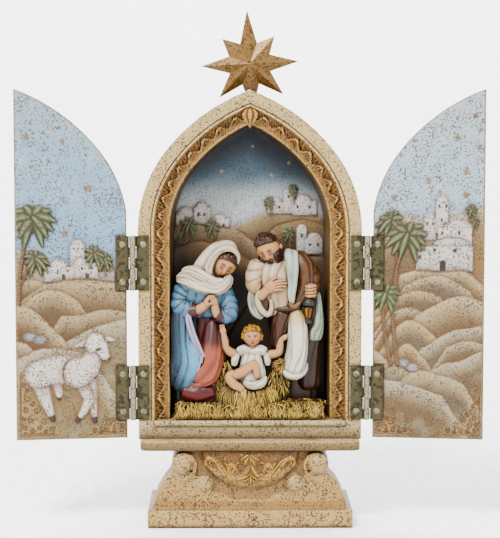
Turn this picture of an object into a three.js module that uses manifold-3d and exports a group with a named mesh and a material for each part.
// A small folding nativity shrine in cast and painted resin: a pedestal, a pointed-arch case with a niche,
// a kneeling family group in the niche, a gilded star on the ridge, and two relief doors on four brass hinges.
// Millimetres. +X is the viewer's right, +Y is away from the viewer, +Z is up.
// The origin is the centre of the plinth's underside. The doors stand open, as at rest.

import * as THREE from "three";
import { mergeVertices } from "three/addons/utils/BufferGeometryUtils.js";
import Module from "manifold-3d";

const wasm = await Module();
wasm.setup();

// Pedestal
const PLINTH_WIDTH = 121;
const PLINTH_DEPTH = 62;
const PLINTH_HEIGHT = 10.8;
const FASCIA_HEIGHT = 4.8;
const FASCIA_SETBACK = 3.2;
const FOOT_SETBACK = 4.2;
const PEDESTAL_HEIGHT = 46;
const NECK_WIDTH = 83;
const NECK_DEPTH = 48;
const FLANK_HOLLOW = 7.5;
const MEDALLION_HALF_WIDTH = 28.8;
const MEDALLION_DROP = 22.9;
const MEDALLION_PROUD = 3.2;
const MEDALLION_BEVEL = 1.4;
const ACANTHUS_PROUD = 1.2;
const ACANTHUS_STEM = 1.5;
const VOLUTE_RADIUS = 6.3;
const VOLUTE_PROUD = 3.2;
const VOLUTE_BAND = 2;
const LOW_VOLUTE_RADIUS = 5.4;
const CONSOLE_PROUD = 2.6;

// Case and its ledge
const CASE_HALF_WIDTH = 66;
const CASE_DEPTH = 46;
const CASE_BACK_SETBACK = 4;
const LEDGE_HEIGHT = 5.6;
const LEDGE_PROUD = 11;
const LEDGE_HALF_WIDTH = 64.8;
const LEDGE_ROUND = 4.6;
const LEDGE_BACK_PROUD = 2;
const SILL_HEIGHT = 10.8;
const SILL_NOSE = 2;
const SPRING_HEIGHT = 174.5;
const HAUNCH_RADIUS = 76.4;
const HAUNCH_TURN = 38;
const CROWN_RADIUS = 111.6;
const FACE_BAND = 8.4;
const FACE_BAND_DROP = 1.5;
const MOULDING_WIDTH = 9.6;
const MOULDING_DEPTH = 6;
const NICHE_DEPTH = 40;
const NICHE_DRAFT = 2;
const LEAF_PITCH = 11;
const LEAF_LENGTH = 11;
const LEAF_WIDTH = 4.6;
const LEAF_PROUD = 1.6;
const KEYSTONE_LENGTH = 13;
const KEYSTONE_WIDTH = 9;

// Star
const STAR_RISE = 15.5;
const STAR_TOP_RAY = 31.8;
const STAR_SIDE_RAY = 29;
const STAR_UPPER_RAY = 22;
const STAR_LOWER_RAY = 27;
const STAR_NOTCH = 13;
const STAR_THICKNESS = 10;
const STAR_LEAN = 3;
const STAR_BEHIND_FACE = 17;

// Hinges
const HINGE_HEIGHT = 32.2;
const KNUCKLE_RADIUS = 1.7;
const KNUCKLE_COUNT = 5;
const KNUCKLE_GAP = 0.3;
const PIN_RADIUS = 0.7;
const PIN_CLEARANCE = 0.15;
const LEAF_THICKNESS = 0.8;
const HINGE_LEAF_WIDTH = 9.4;
const HINGE_EDGE_GAP = 3;
const SCREW_HEAD_RADIUS = 1.9;
const SCREW_HEAD_HEIGHT = 0.6;
const SCREW_SHANK_RADIUS = 0.75;
const SCREW_DEPTH = 3.5;
const SCREW_CLEARANCE = 0.3;
const SCREW_INSET_Z = 5;
const SCREW_FROM_AXIS = 6;
const SEAT_GAP = 0.3;
const LOW_HINGE_ABOVE_SILL = 0.8;
const HIGH_HINGE_BELOW_SPRING = 34.4;

// Doors
const DOOR_THICKNESS = 6.5;
const DOOR_LEDGE_GAP = 0.6;
const DOOR_MEETING_GAP = 1;
const DOOR_OVERHANG = 0.7;
const DOOR_CREST_CUT = 0.4;
const DOOR_SWING = 8;
const HILL_PROUD = 1.4;
const HOUSE_PROUD = 1.9;
const PALM_PROUD = 1.7;
const LAMB_PROUD = 2.6;

// Levels and planes that follow from the sizes above
const LEDGE_TOP = PEDESTAL_HEIGHT + LEDGE_HEIGHT;
const FLOOR = LEDGE_TOP + SILL_HEIGHT;
const CASE_BACK = PLINTH_DEPTH / 2 - CASE_BACK_SETBACK;
const FACE = CASE_BACK - CASE_DEPTH;
const NICHE_BACK = FACE + NICHE_DEPTH;
const AXIS_X = CASE_HALF_WIDTH + HINGE_EDGE_GAP;
const AXIS_PROUD = KNUCKLE_RADIUS + SEAT_GAP;
const AXIS_Y = FACE - AXIS_PROUD;
const DOOR_REACH = AXIS_X - DOOR_MEETING_GAP / 2;
const DOOR_FLOOR = LEDGE_TOP + DOOR_LEDGE_GAP;
const PEDESTAL_FACE = -NECK_DEPTH / 2;

const ARC_STEPS = 4;
const rad = THREE.MathUtils.degToRad;

// A raised band of even width along a smooth line of front points, from y0 back to y1
function stem(points, width, y0, y1, samples = 12) {
  const line = new THREE.SplineCurve(points.map(([x, z]) => new THREE.Vector2(x, z)));
  const edge = [[], []];
  for (let i = 0; i <= samples; i++) {
    const t = i / samples;
    const at = line.getPoint(t);
    const along = line.getTangent(t);
    const half = (width / 2) * (0.55 + 0.45 * Math.sin(Math.PI * t));
    edge[0].push([at.x - along.y * half, at.y + along.x * half]);
    edge[1].push([at.x + along.y * half, at.y - along.x * half]);
  }
  return slab(shapeOf([...edge[0], ...edge[1].reverse()]), y0, y1);
}

// Colours and finishes
const stone = new THREE.MeshStandardMaterial({ color: 0xd9bd8b, roughness: 0.8 });
const gilt = new THREE.MeshStandardMaterial({ color: 0xb98a45, roughness: 0.4, metalness: 0.7 });
const painted = new THREE.MeshStandardMaterial({ color: 0xb8b5a4, roughness: 0.75 });
const family = new THREE.MeshStandardMaterial({ color: 0xb09a86, roughness: 0.6 });
const brass = new THREE.MeshStandardMaterial({ color: 0x6b6048, roughness: 0.5, metalness: 0.9 });

// Solids: closed three.js geometry in, one manifold solid out
function solid(geometry) {
  const bare = geometry.index ? geometry.toNonIndexed() : geometry.clone();
  bare.deleteAttribute("normal");
  bare.deleteAttribute("uv");
  const merged = mergeVertices(bare, 1e-4);
  const corners = [];
  const index = merged.index.array;
  for (let i = 0; i < index.length; i += 3) {
    const [a, b, c] = [index[i], index[i + 1], index[i + 2]];
    if (a !== b && b !== c && c !== a) corners.push(a, b, c);
  }
  const vertProperties = merged.attributes.position.array;
  const close = (triVerts) => new wasm.Manifold(new wasm.Mesh({ numProp: 3, vertProperties, triVerts }));
  const made = close(new Uint32Array(corners));
  return made.volume() < 0 ? close(new Uint32Array(corners.reverse())) : made;
}

const union = (solids) => solids.reduce((all, one) => all.add(one));

// A cast shape has no pockets sealed inside it, so any that a union leaves are filled.
const filled = (shape) => union(shape.decompose().filter((body) => body.volume() > 0));

function mesh(name, shape, material) {
  const made = shape.getMesh();
  const geometry = new THREE.BufferGeometry();
  geometry.setAttribute("position", new THREE.BufferAttribute(new Float32Array(made.vertProperties), 3));
  geometry.setIndex(new THREE.BufferAttribute(new Uint32Array(made.triVerts), 1));
  geometry.computeVertexNormals();
  const piece = new THREE.Mesh(geometry, material);
  piece.name = name;
  return piece;
}

const shapeOf = (points) => new THREE.Shape(points.map(([x, z]) => new THREE.Vector2(x, z)));

// A front outline in X and Z, carried from y0 back to y1
function slab(shape, y0, y1, curveSegments = 8) {
  const geometry = new THREE.ExtrudeGeometry(shape, { depth: y1 - y0, bevelEnabled: false, curveSegments });
  return solid(geometry.rotateX(Math.PI / 2).translate(0, y1, 0));
}

// A side outline in Y and Z, carried from x0 to x1
function sideSlab(shape, x0, x1) {
  const geometry = new THREE.ExtrudeGeometry(shape, { depth: x1 - x0, bevelEnabled: false });
  return solid(geometry.rotateX(Math.PI / 2).rotateZ(Math.PI / 2).translate(x0, 0, 0));
}

function box(x0, x1, y0, y1, z0, z1) {
  const geometry = new THREE.BoxGeometry(x1 - x0, y1 - y0, z1 - z0);
  return solid(geometry.translate((x0 + x1) / 2, (y0 + y1) / 2, (z0 + z1) / 2));
}

// An egg, with its own radii and a lean in degrees about X, Y and Z
function egg(centre, radii, lean = [0, 0, 0], around = 8, along = 5) {
  const geometry = new THREE.SphereGeometry(1, around, along).rotateX(Math.PI / 2).scale(...radii);
  geometry.rotateX(rad(lean[0])).rotateY(rad(lean[1])).rotateZ(rad(lean[2]));
  return solid(geometry.translate(...centre));
}

// A turned shape: rows of radius and height, spun about an upright axis
function turned(rows, sides) {
  const profile = rows.map(([r, h]) => new THREE.Vector2(r, h));
  return solid(new THREE.LatheGeometry(profile, sides).rotateX(Math.PI / 2));
}

// The same, spun about an axis that runs away from the viewer
function turnedAcross(rows, sides) {
  const profile = rows.map(([r, h]) => new THREE.Vector2(r, h));
  return solid(new THREE.LatheGeometry(profile, sides));
}

// A limb with blunt ends that tapers from one point to another
function limb(from, to, r0, r1, sides = 7) {
  const [a, b] = [new THREE.Vector3(...from), new THREE.Vector3(...to)];
  const length = a.distanceTo(b);
  const blunt = 0.7;
  const profile = [
    [0, -r0 * blunt],
    [r0, 0],
    [r1, length],
    [0, length + r1 * blunt],
  ].map(([r, h]) => new THREE.Vector2(r, h));
  const geometry = new THREE.LatheGeometry(profile, sides);
  const turn = new THREE.Quaternion().setFromUnitVectors(
    new THREE.Vector3(0, 1, 0),
    b.clone().sub(a).normalize(),
  );
  return solid(geometry.applyQuaternion(turn).translate(...from));
}

// Stacked rings of equal count, with flat ends, as one closed skin
function loft(rings) {
  const count = rings[0].length;
  const positions = rings.flat(2);
  const index = [];
  for (let r = 0; r + 1 < rings.length; r++)
    for (let i = 0; i < count; i++) {
      const [a, b] = [r * count + i, r * count + ((i + 1) % count)];
      index.push(a, b, b + count, a, b + count, a + count);
    }
  [rings[0], rings.at(-1)].forEach((ring, end) => {
    const middle = positions.length / 3;
    const centre = [0, 1, 2].map((k) => ring.reduce((sum, p) => sum + p[k], 0) / count);
    positions.push(...centre);
    const first = end ? (rings.length - 1) * count : 0;
    for (let i = 0; i < count; i++) {
      const [a, b] = [first + i, first + ((i + 1) % count)];
      if (end) index.push(a, b, middle);
      else index.push(b, a, middle);
    }
  });
  const geometry = new THREE.BufferGeometry();
  geometry.setAttribute("position", new THREE.BufferAttribute(new Float32Array(positions), 3));
  geometry.setIndex(index);
  return solid(geometry);
}

// The pointed arch: a haunch arc that turns into a flatter crown arc, on each side.
// inset moves the line inwards, drop lowers its springing, and base is its foot.
function archPoints(inset, drop, base, halfWidth = CASE_HALF_WIDTH) {
  const spring = SPRING_HEIGHT - drop;
  const turn = rad(HAUNCH_TURN);
  const haunch = [halfWidth - HAUNCH_RADIUS, spring];
  const step = HAUNCH_RADIUS - CROWN_RADIUS;
  const crown = [haunch[0] + step * Math.cos(turn), haunch[1] + step * Math.sin(turn)];
  const top = Math.acos(-crown[0] / (CROWN_RADIUS - inset));
  const right = [];
  for (let i = 0; i <= ARC_STEPS; i++) {
    const angle = (turn * i) / ARC_STEPS;
    right.push(around(haunch, HAUNCH_RADIUS - inset, angle));
  }
  for (let i = 1; i <= ARC_STEPS; i++) {
    const angle = turn + ((top - turn) * i) / ARC_STEPS;
    right.push(around(crown, CROWN_RADIUS - inset, angle));
  }
  right[right.length - 1][0] = 0;
  const left = right
    .slice(0, -1)
    .reverse()
    .map(([x, z]) => [-x, z]);
  return [[halfWidth - inset, base], ...right, ...left, [inset - halfWidth, base]];
}

function around([cx, cz], radius, angle) {
  return [cx + radius * Math.cos(angle), cz + radius * Math.sin(angle)];
}

// Pedestal: one casting, moulded on all sides, with consoles and a medallion on its front
function flank(reach, neck) {
  const outline = [[reach, 0]];
  outline.push([reach, PLINTH_HEIGHT]);
  outline.push([reach - FASCIA_SETBACK, PLINTH_HEIGHT]);
  outline.push([reach - FOOT_SETBACK, PLINTH_HEIGHT + FASCIA_HEIGHT]);
  const foot = reach - FOOT_SETBACK - 0.8;
  const low = PLINTH_HEIGHT + FASCIA_HEIGHT;
  const steps = 5;
  for (let i = 0; i <= steps; i++) {
    const t = i / steps;
    const hollow = (Math.sin(Math.PI * t) * FLANK_HOLLOW * (foot - neck)) / reach;
    outline.push([foot + (neck - foot) * t - hollow, low + (PEDESTAL_HEIGHT - low) * t]);
  }
  return outline;
}

function bothSides(outline) {
  const mirrored = outline.map(([x, z]) => [-x, z]).reverse();
  return shapeOf([...outline, ...mirrored]);
}

function pedestalCore() {
  const front = bothSides(flank(PLINTH_WIDTH / 2, NECK_WIDTH / 2));
  const side = bothSides(flank(PLINTH_DEPTH / 2, NECK_DEPTH / 2));
  const across = slab(front, -PLINTH_DEPTH, PLINTH_DEPTH);
  return across.intersect(sideSlab(side, -PLINTH_WIDTH, PLINTH_WIDTH));
}

function halfOval(inset, y) {
  const steps = 12;
  const ring = [];
  for (let i = 0; i <= steps; i++) {
    const angle = Math.PI + (Math.PI * i) / steps;
    const x = (MEDALLION_HALF_WIDTH - inset) * Math.cos(angle);
    ring.push([x, y, PEDESTAL_HEIGHT + (MEDALLION_DROP - inset) * Math.sin(angle)]);
  }
  return ring;
}

const MEDALLION_FACE = PEDESTAL_FACE - MEDALLION_PROUD;

function medallion() {
  return loft([
    halfOval(0, 0),
    halfOval(0, MEDALLION_FACE + MEDALLION_BEVEL),
    halfOval(MEDALLION_BEVEL, MEDALLION_FACE),
  ]);
}

// Points of the medallion's carving, as shares of its half width and of its drop
const onMedallion = (side, points) =>
  points.map(([u, v]) => [side * u * MEDALLION_HALF_WIDTH, PEDESTAL_HEIGHT - v * MEDALLION_DROP]);

const S_SCROLL = [
  [0.86, 0.42],
  [0.94, 0.32],
  [0.84, 0.2],
  [0.7, 0.3],
  [0.58, 0.54],
  [0.44, 0.73],
  [0.29, 0.77],
  [0.15, 0.66],
  [0.03, 0.42],
];
const INNER_CURL = [
  [0.36, 0.56],
  [0.3, 0.46],
  [0.36, 0.38],
  [0.45, 0.44],
  [0.44, 0.58],
  [0.32, 0.72],
];

function acanthus() {
  const front = MEDALLION_FACE - ACANTHUS_PROUD;
  const back = MEDALLION_FACE + 1;
  const carving = [];
  const leaf = (u, v, length, width, lean) => {
    const [[x, z]] = onMedallion(1, [[u, v]]);
    carving.push(egg([x, MEDALLION_FACE, z], [width, ACANTHUS_PROUD, length], [0, lean, 0], 4, 2));
  };
  for (const side of [-1, 1]) {
    carving.push(stem(onMedallion(side, S_SCROLL), ACANTHUS_STEM, front, back, 12));
    carving.push(stem(onMedallion(side, INNER_CURL), ACANTHUS_STEM, front, back, 7));
    leaf(side * 0.1, 0.26, 3.4, 1.4, side * 28);
    leaf(side * 0.17, 0.12, 2.6, 1.2, side * 58);
    leaf(side * 0.13, 0.78, 3.2, 1.2, side * 64);
    leaf(side * 0.51, 0.24, 2, 0.9, side * 30);
  }
  leaf(0, 0.24, 4, 1.2, 0);
  leaf(0, 0.8, 2.2, 1.5, 0);
  return carving;
}

// One console on each side: an upper volute with a band round it, a lower volute, and a swept foot
function consoles() {
  const parts = [];
  const low = PLINTH_HEIGHT + FASCIA_HEIGHT;
  const rise = PEDESTAL_HEIGHT - low;
  const reach = PLINTH_WIDTH / 2 - FOOT_SETBACK;
  const front = PEDESTAL_FACE - CONSOLE_PROUD;
  const footFront = FOOT_SETBACK - PLINTH_DEPTH / 2;
  const upper = [NECK_WIDTH / 2 - 1.2, PEDESTAL_HEIGHT - 9];
  const lower = [MEDALLION_HALF_WIDTH - 2, PEDESTAL_HEIGHT - 20];
  const foot = [
    [reach, 0],
    [MEDALLION_HALF_WIDTH * 0.4, 0],
    [MEDALLION_HALF_WIDTH * 0.54, 0.12 * rise],
    [MEDALLION_HALF_WIDTH * 0.78, 0.18 * rise],
    [lower[0] + 2, 0.34 * rise],
    [lower[0] + 5, 0.5 * rise],
    [upper[0] - 3, 0.6 * rise],
    [upper[0] + 5, 0.56 * rise],
    [reach - 5.4, 0.4 * rise],
    [reach - 1.8, 0.2 * rise],
  ];
  for (const side of [-1, 1]) {
    const outline = foot.map(([x, h]) => [side * x, low + h]);
    parts.push(slab(shapeOf(outline), footFront, 0));
    const volute = ([x, z], radius, proud) => {
      const rows = [
        [0, front - proud],
        [radius * 0.75, front - proud * 0.65],
        [radius, front],
        [radius, 0],
        [0, 0],
      ];
      parts.push(turnedAcross(rows, 10).translate(side * x, 0, z));
    };
    volute(upper, VOLUTE_RADIUS, VOLUTE_PROUD);
    volute(lower, LOW_VOLUTE_RADIUS, VOLUTE_PROUD * 0.7);
    const curl = [150, 100, 50, 0, -50, -95].map((degrees, i) => {
      const radius = VOLUTE_RADIUS * (1.02 + 0.1 * i);
      return [side * (upper[0] - radius * Math.cos(rad(degrees))), upper[1] + radius * Math.sin(rad(degrees))];
    });
    parts.push(stem(curl, VOLUTE_BAND, front - VOLUTE_PROUD * 0.4, 0, 7));
  }
  return parts;
}

function pedestal() {
  const raised = union([medallion(), ...acanthus(), ...consoles()]);
  const within = box(
    -PLINTH_WIDTH / 2 + 2,
    PLINTH_WIDTH / 2 - 2,
    -PLINTH_DEPTH / 2 + 0.5,
    0,
    PLINTH_HEIGHT - 1,
    PEDESTAL_HEIGHT,
  );
  return pedestalCore().add(raised.intersect(within));
}

// Case: the arch block with its niche, splayed moulding, sill and ledge, cast as one
function archRing(inset, y) {
  const drop = inset > 0 ? FACE_BAND_DROP : 0;
  return archPoints(inset, drop, FLOOR).map(([x, z]) => [x, y, z]);
}

function niche() {
  const inner = FACE_BAND + MOULDING_WIDTH;
  return loft([
    archRing(FACE_BAND, FACE - 1),
    archRing(FACE_BAND, FACE + 0.8),
    archRing(FACE_BAND + MOULDING_WIDTH * 0.45, FACE + MOULDING_DEPTH * 0.75),
    archRing(inner - 1.4, FACE + MOULDING_DEPTH),
    archRing(inner, FACE + MOULDING_DEPTH),
    archRing(inner + NICHE_DRAFT, NICHE_BACK),
  ]);
}

// Leaves carved along the splay of the moulding, spaced evenly up each jamb and round the arch
function mouldingLeaves() {
  const middle = FACE_BAND + MOULDING_WIDTH * 0.5;
  const path = archPoints(middle, FACE_BAND_DROP, FLOOR);
  const right = path.slice(0, (path.length + 1) / 2);
  const leaves = [];
  let carried = LEAF_PITCH / 2;
  let flip = 1;
  for (let i = 0; i + 1 < right.length; i++) {
    const [[x0, z0], [x1, z1]] = [right[i], right[i + 1]];
    const length = Math.hypot(x1 - x0, z1 - z0);
    const heading = THREE.MathUtils.radToDeg(Math.atan2(x1 - x0, z1 - z0));
    while (carried < length) {
      const t = carried / length;
      for (const side of [-1, 1]) {
        const at = [side * (x0 + (x1 - x0) * t), FACE + MOULDING_DEPTH * 0.78, z0 + (z1 - z0) * t];
        const lean = [0, side * (heading + flip * 24), 0];
        leaves.push(egg(at, [LEAF_WIDTH / 2, LEAF_PROUD, LEAF_LENGTH / 2], lean, 4, 2));
      }
      flip = -flip;
      carried += LEAF_PITCH;
    }
    carried -= length;
  }
  return leaves;
}

function keystone() {
  const top = archPoints(FACE_BAND, FACE_BAND_DROP, FLOOR)[2 * ARC_STEPS + 1][1];
  const half = KEYSTONE_WIDTH / 2;
  const centre = top - KEYSTONE_LENGTH * 0.32;
  const petals = [-1, 1].map((side) =>
    egg([side * half * 0.4, FACE + 2.4, centre], [half * 0.6, 3, KEYSTONE_LENGTH * 0.36], [0, side * -14, 0], 8, 6),
  );
  const tip = egg([0, FACE + 2.2, centre - 1.6], [half * 0.5, 3.4, KEYSTONE_LENGTH * 0.5], [0, 0, 0], 8, 6);
  return [...petals, tip];
}

function ledge() {
  const front = FACE - LEDGE_PROUD;
  const back = CASE_BACK + LEDGE_BACK_PROUD;
  const roundSteps = 4;
  const half = (reach) => {
    const points = [[reach, LEDGE_TOP]];
    for (let i = 0; i <= roundSteps; i++) {
      const angle = (-Math.PI / 2) * (i / roundSteps);
      points.push([
        reach - LEDGE_ROUND + LEDGE_ROUND * Math.cos(angle),
        PEDESTAL_HEIGHT + LEDGE_ROUND + LEDGE_ROUND * Math.sin(angle),
      ]);
    }
    return points;
  };
  const across = bothSides(half(LEDGE_HALF_WIDTH).reverse());
  const depthHalf = (back - front) / 2;
  const through = bothSides(half(depthHalf).reverse());
  const side = sideSlab(through, -CASE_HALF_WIDTH, CASE_HALF_WIDTH).translate(0, (front + back) / 2, 0);
  return slab(across, front, back).intersect(side);
}

function sill() {
  const noseTop = FLOOR;
  const noseLow = FLOOR - 2.6;
  const outline = [
    [FACE + 2, LEDGE_TOP - 1],
    [FACE + 2, noseTop],
    [FACE - SILL_NOSE + 0.8, noseTop],
    [FACE - SILL_NOSE, noseTop - 0.8],
    [FACE - SILL_NOSE, noseLow],
    [FACE - 0.9, noseLow - 2],
    [FACE - 0.4, noseLow - 5],
    [FACE - 0.4, LEDGE_TOP - 1],
  ];
  return sideSlab(shapeOf(outline), -LEDGE_HALF_WIDTH, LEDGE_HALF_WIDTH);
}

// Carved hills and houses of the niche's back wall, in X and Z as the niche shows them
const BACK_HILLS = [
  { x: -30, z: 150, rx: 36, rz: 28 },
  { x: 26, z: 140, rx: 40, rz: 44 },
  { x: -6, z: 120, rx: 34, rz: 46 },
];
const BACK_HOUSES = [
  { x: -40, z: 172, wide: 8, tall: 10 },
  { x: -32, z: 171, wide: 9, tall: 13, dome: 3.6 },
  { x: -22, z: 170, wide: 13, tall: 12 },
  { x: 16, z: 181, wide: 9, tall: 5, dome: 4 },
  { x: 26, z: 180, wide: 11, tall: 7 },
  { x: 33.5, z: 181, wide: 4.6, tall: 17, dome: 2.4 },
  { x: 40, z: 180, wide: 8, tall: 7 },
  { x: 32, z: 156, wide: 4.6, tall: 18, dome: 2.2 },
  { x: 38.6, z: 155, wide: 9, tall: 14, dome: 4 },
];

function backdrop() {
  const hills = BACK_HILLS.map(({ x, z, rx, rz }) =>
    egg([x, NICHE_BACK + 0.5, z], [rx, HILL_PROUD + 0.9, rz], [0, 0, 0], 8, 5),
  );
  const houses = BACK_HOUSES.flatMap((house) => townHouse(house, NICHE_BACK + 0.5, -1, HOUSE_PROUD + 1.2));
  const within = loft([
    archRing(FACE_BAND + MOULDING_WIDTH + NICHE_DRAFT - 0.6, NICHE_BACK - 12),
    archRing(FACE_BAND + MOULDING_WIDTH + NICHE_DRAFT - 0.6, NICHE_BACK + 2),
  ]);
  return union([...hills, ...houses]).intersect(within);
}

// A block house with an optional dome: foot at z, raised from the plane y by proud, towards facing
function townHouse({ x, z, wide, tall, dome = 0 }, y, facing, proud) {
  const [near, far] = facing < 0 ? [y - proud, y] : [y, y + proud];
  const parts = [box(x - wide / 2, x + wide / 2, near, far, z, z + tall)];
  if (dome) parts.push(egg([x, y, z + tall], [dome, proud, dome * 0.9], [0, 0, 0], 6, 4));
  return parts;
}

// Blind holes for the hinge screws in a flat face at y
function screwHoles(places, y) {
  const radius = SCREW_SHANK_RADIUS + SCREW_CLEARANCE;
  const depth = SCREW_DEPTH + SCREW_CLEARANCE;
  return union(
    places.map(([x, z]) => solid(new THREE.CylinderGeometry(radius, radius, depth + 1, 8).translate(x, y + depth / 2 - 0.5, z))),
  );
}

const HINGE_FEET = {
  low: FLOOR + LOW_HINGE_ABOVE_SILL,
  high: SPRING_HEIGHT - HIGH_HINGE_BELOW_SPRING,
};
const screwLevels = (foot) => [foot + SCREW_INSET_Z, foot + HINGE_HEIGHT - SCREW_INSET_Z];
const allScrewLevels = Object.values(HINGE_FEET).flatMap(screwLevels);

function shrineCase() {
  const block = slab(shapeOf(archPoints(0, 0, LEDGE_TOP - 1)), FACE, CASE_BACK);
  const places = allScrewLevels.flatMap((z) => [-1, 1].map((side) => [side * (AXIS_X - SCREW_FROM_AXIS), z]));
  const carved = block
    .add(sill())
    .add(ledge())
    .subtract(niche())
    .subtract(screwHoles(places, FACE));
  return filled(union([carved, ...mouldingLeaves(), ...keystone(), backdrop()]));
}

// Star: eight ridged rays, front and back, cut underneath to sit astride the arch
function star() {
  const ridge = archPoints(0, 0, 0)[2 * ARC_STEPS + 1][1];
  const centre = [0, FACE + STAR_BEHIND_FACE, ridge + STAR_RISE];
  const rays = [
    STAR_SIDE_RAY,
    STAR_UPPER_RAY,
    STAR_TOP_RAY,
    STAR_UPPER_RAY,
    STAR_SIDE_RAY,
    STAR_LOWER_RAY,
    STAR_SIDE_RAY,
    STAR_LOWER_RAY,
  ];
  const positions = [0, -STAR_THICKNESS / 2, 0, 0, STAR_THICKNESS / 2, 0];
  rays.forEach((ray, i) => {
    const tip = rad(45 * i + STAR_LEAN);
    const notch = rad(45 * i + 22.5 + STAR_LEAN);
    positions.push(ray * Math.cos(tip), 0, ray * Math.sin(tip));
    positions.push(STAR_NOTCH * Math.cos(notch), 0, STAR_NOTCH * Math.sin(notch));
  });
  const index = [];
  const points = 2 * rays.length;
  for (let i = 0; i < points; i++) {
    const [a, b] = [2 + i, 2 + ((i + 1) % points)];
    index.push(0, a, b, 1, b, a);
  }
  const geometry = new THREE.BufferGeometry();
  geometry.setAttribute("position", new THREE.BufferAttribute(new Float32Array(positions), 3));
  geometry.setIndex(index);
  const seat = slab(shapeOf(archPoints(-SEAT_GAP, 0, FLOOR)), FACE - 5, CASE_BACK + 5);
  return solid(geometry.translate(...centre)).subtract(seat);
}

// Family group: one casting of three figures on straw, set on the niche floor.
// Its own frame has x across, y behind the case's face and z above the niche's floor.
const BED_HALF_WIDTH = 44.5;
const BED_HALF_DEPTH = 14;
const BED_HEIGHT = 15;
const NEST_HALF_WIDTH = 19.5;
const NEST_HEIGHT = 15;
const GROUP_GAP = 0.5;

// A draped body from hem to shoulders, with soft folds that fade upwards
function robe(hem, shoulders, folds) {
  const count = 10;
  const steps = 3;
  const rings = [];
  for (let r = 0; r <= steps; r++) {
    const t = r / steps;
    const mix = (key) => hem[key] + (shoulders[key] - hem[key]) * t;
    const ring = [];
    for (let i = 0; i < count; i++) {
      const angle = (2 * Math.PI * i) / count;
      const fold = 1 + (i % 2 ? -1 : 1) * folds * (1 - t);
      ring.push([
        mix("x") + mix("rx") * fold * Math.cos(angle),
        mix("y") + mix("ry") * fold * Math.sin(angle),
        mix("z"),
      ]);
    }
    rings.push(ring);
  }
  return loft(rings);
}

// Straw: a low bed across the niche, a nest, and tufts that splay round the nest's rim
function straw() {
  const nest = [-2, 11, BED_HEIGHT + 5];
  const parts = [
    egg([0, BED_HALF_DEPTH, 0], [BED_HALF_WIDTH, BED_HALF_DEPTH, BED_HEIGHT], [0, 0, 0], 14, 6),
    egg(nest, [NEST_HALF_WIDTH, 10.5, NEST_HEIGHT], [-8, 0, 0], 10, 6),
    egg([17.6, 9, 33], [4.4, 4, 4.6], [0, 0, 0], 5, 3),
  ];
  const tufts = 9;
  for (let i = 0; i < tufts; i++) {
    const angle = rad(165 + (210 * i) / (tufts - 1));
    const [across, up] = [Math.cos(angle), Math.sin(angle)];
    const at = [nest[0] + across * NEST_HALF_WIDTH * 0.86, 4.6 + 3 * across * across, nest[2] + up * 9];
    parts.push(egg(at, [3.6, 2.8, 7], [18, across * -62, 0], 4, 2));
  }
  return parts;
}

function kneelingWoman() {
  return [
    robe({ x: -29, y: 18, z: 10, rx: 18, ry: 13 }, { x: -27, y: 19, z: 72, rx: 13.5, ry: 9 }, 0.07),
    egg([-26.5, 18, 73], [14.8, 9.6, 12], [0, 6, 0], 10, 6),
    // The mantle over her far arm and its edge, swept forward over the knee and back to the hem
    limb([-39, 17, 79], [-42.4, 12, 67], 6.4, 7),
    limb([-42.4, 11, 66.6], [-33, 6.6, 65], 6.6, 4.6),
    limb([-37, 9, 62], [-30, 6, 38], 4.6, 4, 6),
    limb([-30, 6, 38], [-38, 9, 23], 4, 3.4, 6),
    egg([-36.4, 12, 38], [9.4, 8, 26], [0, 10, 0], 8, 5),
    // The mantle over her near arm
    limb([-15, 16, 78], [-11.4, 12, 64], 6.4, 5.8),
    limb([-11.4, 11, 63.6], [-18, 7, 63.6], 5.6, 4),
    // Hands laid together, the dress over the knee, and its hem
    limb([-32, 7, 65], [-25, 3.8, 70], 2.8, 2.4, 6),
    limb([-18, 7, 64], [-21.4, 3.8, 69], 2.6, 2.2, 6),
    egg([-23, 3.6, 71.6], [3.2, 2.8, 5], [0, 14, 0], 6, 5),
    egg([-24.4, 11, 36], [9, 9, 15], [0, -4, 0], 8, 6),
    egg([-28, 10, 20], [13, 9, 7], [0, -8, 0], 8, 4),
    // Scarf, veil and face
    egg([-27.6, 14, 84], [13.8, 9.4, 6.2], [0, 15, 0], 10, 5),
    egg([-23.4, 11.4, 79.4], [9, 7, 3.8], [0, 8, 0], 8, 4),
    limb([-27, 18, 89], [-18.6, 17, 95], 7.6, 8.6, 8),
    egg([-15.4, 15, 94.4], [8.2, 9, 10.4], [0, 26, 0], 10, 8),
    egg([-15.2, 8.8, 91.4], [5.6, 5, 8.2], [0, 26, 0], 8, 6),
    egg([-14.9, 4.4, 90.6], [0.9, 1.1, 2], [0, 26, 0], 4, 2),
  ];
}

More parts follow.
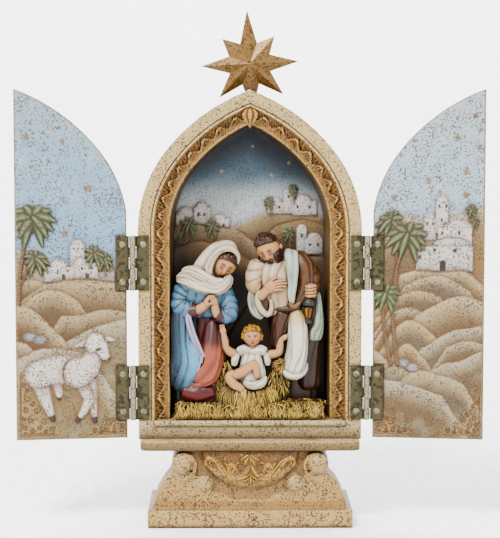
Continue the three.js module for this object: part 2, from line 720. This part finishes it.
function kneelingMan() {
  return [
    robe({ x: 27, y: 19, z: 8, rx: 17, ry: 12 }, { x: 19, y: 19, z: 78, rx: 14, ry: 9.4 }, 0.05),
    egg([18, 18.6, 84], [15, 9.6, 15], [0, 6, 0], 10, 6),
    // Tunic over the bent leg, and the foot of it gathered on the straw
    egg([25.6, 12, 51], [8.6, 9, 19], [0, 6, 0], 8, 6),
    egg([23.4, 9.6, 34.6], [9.6, 8.6, 8.6], [0, 0, 0], 8, 6),
    egg([21, 17, 67], [12.6, 9.4, 3.6], [0, -4, 0], 8, 4),
    // His arm across the chest with its hanging sleeve, and the hand
    limb([5.6, 18, 89], [3, 12, 76], 6, 6.2),
    limb([3.6, 11, 75], [13, 5.4, 78.6], 4.8, 2.8),
    limb([6, 10, 73], [10.2, 8, 66.4], 4.8, 4.2, 6),
    egg([16.6, 4.8, 79.8], [5.2, 1.9, 2.9], [0, -18, 0], 7, 4),
    // Cloak over the other shoulder, its hanging end, the fist and the lantern
    limb([29.6, 18, 90], [36.4, 14, 78], 7.4, 6),
    limb([36.4, 14, 78], [36, 8, 77], 5.4, 3.8, 6),
    limb([37.6, 15, 76], [38.4, 12, 56], 5.6, 4.8, 6),
    limb([39.4, 10, 66], [38.6, 9, 49], 3.4, 3.4, 5),
    egg([35.8, 5.6, 77], [3.9, 3.4, 4], [0, 0, 0], 7, 4),
    egg([24.6, 10, 85], [4.2, 2.6, 16.4], [0, -2, 0], 6, 5),
    // Neck, head, beard and nose
    limb([17, 18, 92], [13.6, 15.4, 98], 5.6, 5, 6),
    egg([10.8, 14.4, 102], [7.8, 8.8, 10.8], [0, -10, 0], 10, 8),
    egg([13.4, 9.8, 93.8], [5, 4.6, 5.2], [0, -16, 0], 8, 5),
    egg([10, 6, 98.4], [1, 1.4, 2.3], [0, -10, 0], 4, 2),
    lantern([34.8, 5.6, 57]),
  ];
}

function lantern(place) {
  const rows = [
    [0, 0],
    [3.4, 0],
    [2.8, 1.2],
    [3.9, 9.4],
    [5, 9.4],
    [4.4, 11.4],
    [1.6, 14],
    [1.2, 18],
    [0, 18],
  ];
  return turned(rows, 6).translate(...place);
}

function infant() {
  return [
    egg([1.5, 8, 33], [8.2, 5.8, 13], [0, 0, 0], 7, 4),
    egg([1.5, 8, 40], [8, 4.6, 5], [0, 0, 0], 6, 4),
    egg([1.5, 6.6, 50.6], [5.2, 5.4, 6.8], [0, 0, 0], 7, 4),
    egg([1.2, 8, 53.2], [6.6, 5.8, 5.6], [0, 0, 0], 6, 4),
    limb([-5.5, 7.4, 40.4], [-13, 6.6, 43.4], 2.6, 2.3, 5),
    limb([-13, 6.6, 43.4], [-15.4, 5.6, 51], 2.3, 1.7, 5),
    egg([-16, 5.2, 54.2], [1.9, 1.4, 3.2], [0, -8, 0], 6, 4),
    limb([8.4, 7.4, 41], [16, 6.6, 41], 2.6, 2.3, 5),
    limb([16, 6.6, 41], [18.6, 5.6, 47.8], 2.3, 1.7, 5),
    egg([21, 5.2, 50], [3.2, 1.4, 1.8], [0, -14, 0], 6, 4),
    limb([4, 6, 24.6], [4.8, 3.4, 34], 3.6, 3.1, 5),
    limb([4.6, 3.4, 34], [-5, 3.6, 26], 3, 2.1, 5),
    limb([-2, 6, 24.6], [-10, 4.4, 27], 3.6, 3.1, 5),
    limb([-10, 4.4, 26.6], [-4, 3, 19], 3, 2.1, 5),
  ];
}

function familyGroup() {
  const inner = FACE_BAND + MOULDING_WIDTH;
  const room = loft([
    archRing(inner + GROUP_GAP, FACE - 3),
    archRing(inner + GROUP_GAP, FACE + MOULDING_DEPTH),
    archRing(inner + NICHE_DRAFT + GROUP_GAP, NICHE_BACK - 4),
  ]).translate(0, 0, SEAT_GAP);
  const figures = union([...straw(), ...kneelingWoman(), ...kneelingMan(), ...infant()]);
  return filled(figures.translate(0, FACE, FLOOR).intersect(room));
}

// Hinges: two leaves with wrapped knuckles on one pin, and four screws.
// Built about the hinge axis, with the leaf running along +X and lying on a face at y = AXIS_PROUD.
const pitch = HINGE_HEIGHT / KNUCKLE_COUNT;

function knuckleTube(z0, z1, sides = 7) {
  const bore = PIN_RADIUS + PIN_CLEARANCE;
  const rows = [
    [bore, z0],
    [KNUCKLE_RADIUS, z0],
    [KNUCKLE_RADIUS, z1],
    [bore, z1],
    [bore, z0],
  ];
  return turned(rows, sides);
}

// parity 0 takes the knuckles at the two ends and the middle, and parity 1 the two between them
function hingeLeaf(parity) {
  const plateStart = KNUCKLE_RADIUS + KNUCKLE_GAP;
  const [y0, y1] = [KNUCKLE_RADIUS - LEAF_THICKNESS, KNUCKLE_RADIUS];
  let leaf = box(plateStart, HINGE_LEAF_WIDTH, y0, y1, 0, HINGE_HEIGHT);
  for (let k = 0; k < KNUCKLE_COUNT; k++) {
    if (k % 2 !== parity) continue;
    const z0 = k * pitch + (k ? KNUCKLE_GAP / 2 : 0);
    const z1 = (k + 1) * pitch - (k + 1 < KNUCKLE_COUNT ? KNUCKLE_GAP / 2 : 0);
    leaf = leaf.add(box(0, plateStart + 0.5, y0, y1, z0, z1)).add(knuckleTube(z0, z1));
  }
  const bore = solid(
    new THREE.CylinderGeometry(PIN_RADIUS + PIN_CLEARANCE, PIN_RADIUS + PIN_CLEARANCE, HINGE_HEIGHT + 2, 7)
      .rotateX(Math.PI / 2)
      .translate(0, 0, HINGE_HEIGHT / 2),
  );
  const holeRadius = SCREW_SHANK_RADIUS + SCREW_CLEARANCE;
  const holes = screwLevels(0).map((z) =>
    solid(new THREE.CylinderGeometry(holeRadius, holeRadius, LEAF_THICKNESS * 3, 6).translate(SCREW_FROM_AXIS, y1, z)),
  );
  return leaf.subtract(union([bore, ...holes]));
}

function hingePin() {
  const head = KNUCKLE_RADIUS * 0.8;
  const rows = [
    [0, -0.9],
    [head, -0.7],
    [head, -KNUCKLE_GAP / 2],
    [PIN_RADIUS, -KNUCKLE_GAP / 2],
    [PIN_RADIUS, HINGE_HEIGHT + KNUCKLE_GAP / 2],
    [head, HINGE_HEIGHT + KNUCKLE_GAP / 2],
    [head, HINGE_HEIGHT + 0.7],
    [0, HINGE_HEIGHT + 0.9],
  ];
  return turned(rows, 7);
}

function screw() {
  const under = SEAT_GAP / 3;
  const tip = LEAF_THICKNESS + SEAT_GAP + SCREW_DEPTH;
  const rows = [
    [0, -SCREW_HEAD_HEIGHT - under],
    [SCREW_HEAD_RADIUS, -under],
    [SCREW_SHANK_RADIUS, -under],
    [SCREW_SHANK_RADIUS, tip],
    [0, tip],
  ];
  return turnedAcross(rows, 7);
}

// Doors: half-arch panels. u runs from the hinge axis to the free edge, and z is the height at rest.
function doorOutline(grow = 0) {
  const arch = archPoints(-DOOR_OVERHANG, 0, DOOR_FLOOR);
  const right = arch.slice(0, (arch.length + 1) / 2).filter(([x]) => x >= DOOR_MEETING_GAP / 2);
  const crest = arch[(arch.length - 1) / 2][1];
  const points = right.map(([x, z]) => [AXIS_X - x, z]);
  points.push([DOOR_REACH, crest - DOOR_CREST_CUT]);
  points.push([DOOR_REACH, DOOR_FLOOR]);
  const edge = HINGE_EDGE_GAP + SEAT_GAP;
  return points.map(([u, z]) => [Math.max(u, edge) - grow, z]);
}

function mirrorU(points, side) {
  const turned = points.map(([u, z]) => [side * u, z]);
  return side > 0 ? turned : turned.reverse();
}

// A palm: a leaning trunk, and fronds that spread from its crown and droop at their ends
function palm({ u, z, reach, fronds = 6, trunk }, side, y) {
  const parts = [];
  for (let i = 0; i < fronds; i++) {
    const angle = -34 + (248 * i) / (fronds - 1);
    const [du, dz] = [Math.cos(rad(angle)), Math.sin(rad(angle))];
    const at = [side * (u + du * reach * 0.5), y, z + dz * reach * 0.44 - reach * 0.06];
    const frondRadii = [reach * 0.17, PALM_PROUD * 0.9, reach * 0.5];
    parts.push(egg(at, frondRadii, [0, side * (90 - angle), 0], 4, 2));
  }
  if (trunk) parts.push(limb([side * u, y, z], [side * trunk.u, y, trunk.z], reach * 0.07, reach * 0.1, 5));
  return parts;
}

// Carved hills, houses and palms of each door, as places in u and z
const LEFT_RELIEF = {
  hills: [
    { u: 28, z: 128, ru: 36, rz: 20 },
    { u: 47, z: 124, ru: 22, rz: 18 },
    { u: 66, z: 106, ru: 22, rz: 26 },
    { u: 20, z: 105, ru: 34, rz: 21 },
    { u: 46, z: 84, ru: 26, rz: 22 },
    { u: 4, z: 88, ru: 30, rz: 34 },
    { u: 34, z: 64, ru: 44, rz: 24 },
  ],
  houses: [
    { x: 42, z: 143, wide: 16, tall: 11, dome: 6 },
    { x: 31.5, z: 150, wide: 8.4, tall: 17, dome: 3.4 },
    { x: 27, z: 144, wide: 14.5, tall: 12, dome: 3.4 },
    { x: 16, z: 143, wide: 11, tall: 5 },
  ],
  palms: [
    { u: 58, z: 184, reach: 12.5, trunk: { u: 66, z: 140 } },
    { u: 54.6, z: 159, reach: 7.6, trunk: { u: 66, z: 138 } },
    { u: 22.6, z: 162, reach: 6.4 },
    { u: 16.6, z: 158.6, reach: 5.4, trunk: { u: 16, z: 148 } },
  ],
};
const RIGHT_RELIEF = {
  hills: [
    { u: 34, z: 150, ru: 40, rz: 40 },
    { u: 50, z: 136, ru: 22, rz: 16 },
    { u: 33, z: 131, ru: 18, rz: 17 },
    { u: 34, z: 122, ru: 26, rz: 16 },
    { u: 58, z: 112, ru: 26, rz: 24 },
    { u: 22, z: 112, ru: 18, rz: 17 },
    { u: 40, z: 98, ru: 26, rz: 22 },
    { u: 60, z: 90, ru: 18, rz: 20 },
    { u: 12, z: 86, ru: 20, rz: 24 },
    { u: 58, z: 76, ru: 26, rz: 20 },
    { u: 33, z: 68, ru: 26, rz: 22 },
  ],
  houses: [
    { x: 44.5, z: 176, wide: 6.4, tall: 17, dome: 3.1 },
    { x: 37, z: 168, wide: 6, tall: 14, dome: 3 },
    { x: 50.5, z: 164, wide: 18, tall: 14, dome: 6.2 },
    { x: 49, z: 152, wide: 21, tall: 15 },
    { x: 34, z: 152, wide: 10.4, tall: 11 },
  ],
  palms: [
    { u: 14.5, z: 182, reach: 8, trunk: { u: 16.6, z: 158 } },
    { u: 24.4, z: 172.6, reach: 12, trunk: { u: 16.4, z: 142 } },
    { u: 12.4, z: 140, reach: 8.4, trunk: { u: 15, z: 96 } },
  ],
};

function relief({ hills, houses, palms }, side, y) {
  return [
    ...hills.map(({ u, z, ru, rz }) => egg([side * u, y, z], [ru, HILL_PROUD, rz], [0, 0, 0], 8, 5)),
    ...houses.flatMap((house) => townHouse({ ...house, x: side * house.x }, y, -1, HOUSE_PROUD)),
    ...palms.flatMap((one) => palm(one, side, y + 0.1)),
  ];
}

// The lamb on the left door, walking towards the hinge with its head turned out
function lamb(side, y) {
  const flat = LAMB_PROUD;
  const at = (u, z) => [side * u, y, z];
  const lean = (angle) => [0, -side * angle, 0];
  const leg = (u0, z0, u1, z1, r0, r1) =>
    limb([side * u0, y + 0.2, z0], [side * u1, y + 0.2, z1], r0, r1, 6);
  return [
    egg(at(36, 94.5), [17, flat * 0.9, 9.6], lean(4), 10, 5),
    egg(at(25.6, 93.6), [9.6, flat, 11], lean(-14), 8, 5),
    egg(at(46, 92.6), [8.4, flat * 0.9, 10.4], lean(8), 8, 5),
    egg(at(23.6, 103), [6, flat * 0.9, 8.6], lean(-14), 8, 5),
    egg(at(20.4, 109), [6.4, flat, 6.6], lean(24), 8, 5),
    egg(at(17.2, 105.4), [3.6, flat * 0.9, 5], lean(30), 8, 4),
    egg(at(28.4, 108.6), [3.8, flat * 0.8, 1.7], lean(14), 6, 4),
    egg(at(13.6, 110.4), [2.6, flat * 0.7, 1.4], lean(-8), 6, 4),
    leg(28.6, 87, 24.6, 74, 2.7, 1.9),
    leg(24.6, 74, 31.4, 65.6, 1.8, 1.6),
    leg(22.6, 86, 21.4, 65, 2.2, 1.6),
    leg(48, 88, 43.4, 76, 3.2, 2),
    leg(43.4, 76, 41, 66.4, 1.8, 1.6),
    leg(37, 86, 35, 79, 1.9, 1.5),
  ];
}

function door(side, view, extras = []) {
  const outline = shapeOf(mirrorU(doorOutline(), side));
  const inner = AXIS_PROUD;
  const panel = slab(outline, inner, inner + DOOR_THICKNESS);
  const skin = slab(outline, inner - LAMB_PROUD - 0.4, inner + 1);
  const raised = union([...relief(view, side, inner), ...extras]).intersect(skin);
  const clearLeaf = allScrewLevels.map((z) => [side * SCREW_FROM_AXIS, z]);
  const leafBeds = Object.values(HINGE_FEET).map((foot) => {
    const [u0, u1] = [side * (HINGE_LEAF_WIDTH + SEAT_GAP), 0];
    return box(
      Math.min(u0, u1),
      Math.max(u0, u1),
      inner - LAMB_PROUD - 1,
      inner,
      foot - SEAT_GAP,
      foot + HINGE_HEIGHT + SEAT_GAP,
    );
  });
  return filled(panel.add(raised.subtract(union(leafBeds)))).subtract(screwHoles(clearLeaf, inner));
}

// Assembly
const shrine = new THREE.Group();

shrine.add(mesh("pedestal", pedestal(), stone));
shrine.add(mesh("case", shrineCase(), stone));
shrine.add(mesh("star", star(), gilt));
shrine.add(mesh("family_group", familyGroup(), family));

for (const [name, side] of [
  ["left", -1],
  ["right", 1],
]) {
  // Everything on the axis stands here; the door's own pieces swing with it.
  const axis = new THREE.Group();
  axis.position.set(side * AXIS_X, AXIS_Y, 0);
  const swing = new THREE.Group();
  swing.rotation.z = rad(-side * DOOR_SWING);
  axis.add(swing);
  shrine.add(axis);

  const view = side < 0 ? LEFT_RELIEF : RIGHT_RELIEF;
  const extras = side < 0 ? lamb(side, AXIS_PROUD) : [];
  swing.add(mesh(`${name}_door`, door(side, view, extras), painted));

  for (const [level, foot] of Object.entries(HINGE_FEET)) {
    const tag = `${name}_${level}`;
    // On the right the case lies towards -X of the axis, so the same leaves serve turned half round about Y.
    const place = (piece, towards, parent) => {
      if (towards < 0) {
        piece.rotation.y = Math.PI;
        piece.position.z = foot + HINGE_HEIGHT;
      } else piece.position.z = foot;
      parent.add(piece);
    };
    place(mesh(`${tag}_case_leaf`, hingeLeaf(0), brass), -side, axis);
    place(mesh(`${tag}_door_leaf`, hingeLeaf(1), brass), side, swing);
    place(mesh(`${tag}_pin`, hingePin(), brass), 1, axis);
    screwLevels(foot).forEach((z, i) => {
      const end = i ? "upper" : "lower";
      for (const [part, towards, parent] of [
        ["case", -side, axis],
        ["door", side, swing],
      ]) {
        const piece = mesh(`${tag}_${part}_screw_${end}`, screw(), brass);
        piece.position.set(towards * SCREW_FROM_AXIS, KNUCKLE_RADIUS - LEAF_THICKNESS, z);
        parent.add(piece);
      }
    });
  }
}

export default shrine;
